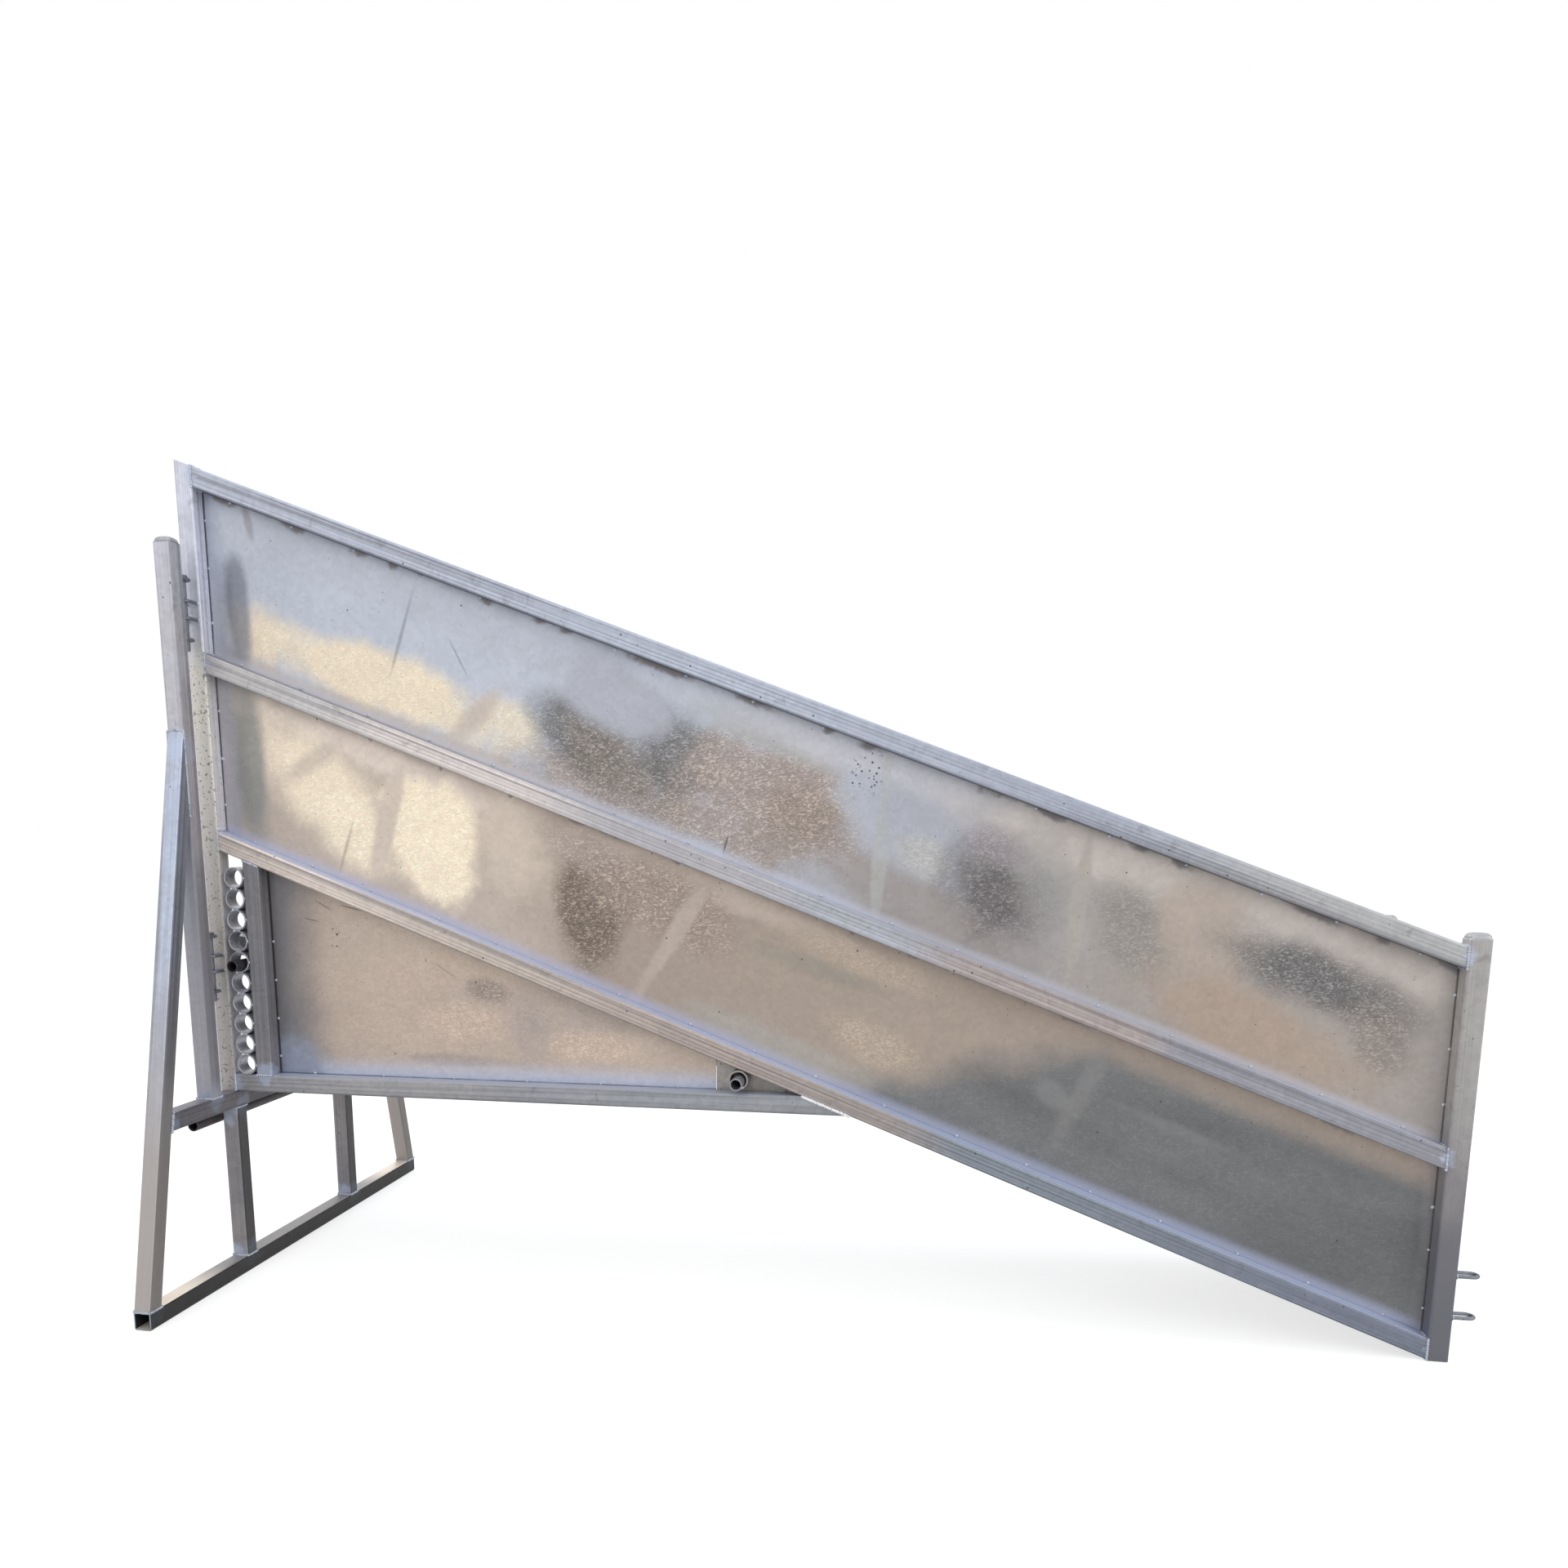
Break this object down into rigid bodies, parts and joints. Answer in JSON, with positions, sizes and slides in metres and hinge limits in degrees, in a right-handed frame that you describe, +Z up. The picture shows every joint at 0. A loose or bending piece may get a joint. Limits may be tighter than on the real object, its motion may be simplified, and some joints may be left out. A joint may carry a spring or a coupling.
{
  "type": "sheep loading ramp",
  "caption": "Portable sheep loading ramp of galvanised square tube and sheet, with a swinging upper deck on a ring-set support bar and a pinned cross-wise stand.",
  "frame": {"origin": "centre of the bounding box's base, on the ground", "axes": "+X along the ramp from the truck end down to the entry end, +Y from the near side to the far side, +Z up"},
  "size_m": [2.7432, 1.284, 1.843],
  "materials": {
    "tube_steel": "weathered galvanised",
    "sheet_steel": "weathered galvanised with spangle",
    "floor_steel": "worn galvanised",
    "pipe_steel": "weathered galvanised",
    "bar_steel": "dark worn steel",
    "rod_steel": "dull galvanised"
  },
  "bodies": {
    "root": {"truck_upright_near": "tube_steel", "truck_upright_far": "tube_steel", "entry_upright_near": "tube_steel", "entry_upright_far": "tube_steel", "top_rail_near": "tube_steel", "top_rail_far": "tube_steel", "mid_rail_near": "tube_steel", "mid_rail_far": "tube_steel", "floor_rail_near": "tube_steel", "floor_rail_far": "tube_steel", "wedge_post_near": "tube_steel", "wedge_post_far": "tube_steel", "wedge_rail_near": "tube_steel", "wedge_rail_far": "tube_steel", "side_sheet_near": "sheet_steel", "side_sheet_far": "sheet_steel", "wedge_sheet_near": "sheet_steel", "wedge_sheet_far": "sheet_steel", "ring_stack_near": "pipe_steel", "ring_stack_far": "pipe_steel", "pivot_bracket_near": "pipe_steel", "pivot_bracket_far": "pipe_steel", "pivot_pipe": "pipe_steel", "fixed_floor": "floor_steel", "sill": "tube_steel", "cross_tube": "tube_steel", "tie_pipe": "bar_steel", "inner_leg_near": "tube_steel", "inner_leg_far": "tube_steel", "post_near": "tube_steel", "post_far": "tube_steel", "outrigger_near": "tube_steel", "outrigger_far": "tube_steel", "chute_loop_near_1": "rod_steel", "chute_loop_near_2": "rod_steel", "chute_loop_near_3": "rod_steel", "chute_loop_near_4": "rod_steel", "chute_loop_far_1": "rod_steel", "chute_loop_far_2": "rod_steel", "chute_loop_far_3": "rod_steel", "chute_loop_far_4": "rod_steel", "post_loop_near_1": "rod_steel", "post_loop_near_2": "rod_steel", "post_loop_near_3": "rod_steel", "post_loop_near_4": "rod_steel", "post_loop_far_1": "rod_steel", "post_loop_far_2": "rod_steel", "post_loop_far_3": "rod_steel", "post_loop_far_4": "rod_steel", "entry_loop_near_1": "rod_steel", "entry_loop_near_2": "rod_steel", "entry_loop_far_1": "rod_steel", "entry_loop_far_2": "rod_steel"},
    "deck": {"deck_frame": "floor_steel", "deck_plate": "floor_steel"},
    "support_bar": {"support_bar": "bar_steel"},
    "pin_near_upper": {"drop_pin_near_upper": "rod_steel"},
    "pin_near_lower": {"drop_pin_near_lower": "rod_steel"},
    "pin_far_upper": {"drop_pin_far_upper": "rod_steel"},
    "pin_far_lower": {"drop_pin_far_lower": "rod_steel"}
  },
  "joints": [
    {"name": "deck_hinge", "type": "hinge", "parent": "root", "child": "deck", "pos_m": [-0.10111, 0, 0.51255], "axis": [0, 1, 0], "range_deg": [0, 10]},
    {"name": "support_bar_slide", "type": "slide", "parent": "root", "child": "support_bar", "axis": [0, -1, 0], "range_m": [0, 0.6]},
    {"name": "pin_near_upper_lift", "type": "slide", "parent": "root", "child": "pin_near_upper", "axis": [0, 0, 1], "range_m": [0, 0.16]},
    {"name": "pin_near_lower_lift", "type": "slide", "parent": "root", "child": "pin_near_lower", "axis": [0, 0, 1], "range_m": [0, 0.16]},
    {"name": "pin_far_upper_lift", "type": "slide", "parent": "root", "child": "pin_far_upper", "axis": [0, 0, 1], "range_m": [0, 0.16]},
    {"name": "pin_far_lower_lift", "type": "slide", "parent": "root", "child": "pin_far_lower", "axis": [0, 0, 1], "range_m": [0, 0.16]}
  ]
}
